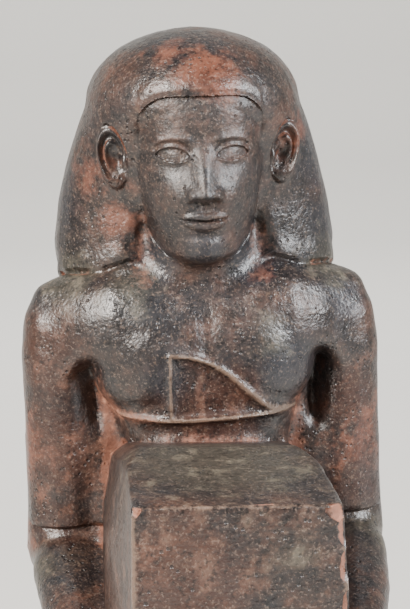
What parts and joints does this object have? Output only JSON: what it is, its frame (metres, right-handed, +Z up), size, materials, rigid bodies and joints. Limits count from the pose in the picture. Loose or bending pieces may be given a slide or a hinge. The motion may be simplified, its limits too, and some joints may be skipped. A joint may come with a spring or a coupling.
{
  "type": "naophorous statue",
  "caption": "Kneeling figure in a plain bag wig and long wrapped skirt, holding an upright shrine in front, on a low base with a back pillar, carved in dark stone.",
  "frame": {"origin": "middle of the base's underside", "axes": "+Z up, the statue's front towards -Y, its left side towards +X"},
  "size_m": [0.188, 0.252, 0.46],
  "materials": {
    "dark_stone": "satin"
  },
  "bodies": {
    "root": {"naophorous_statue": "dark_stone"}
  },
  "joints": []
}
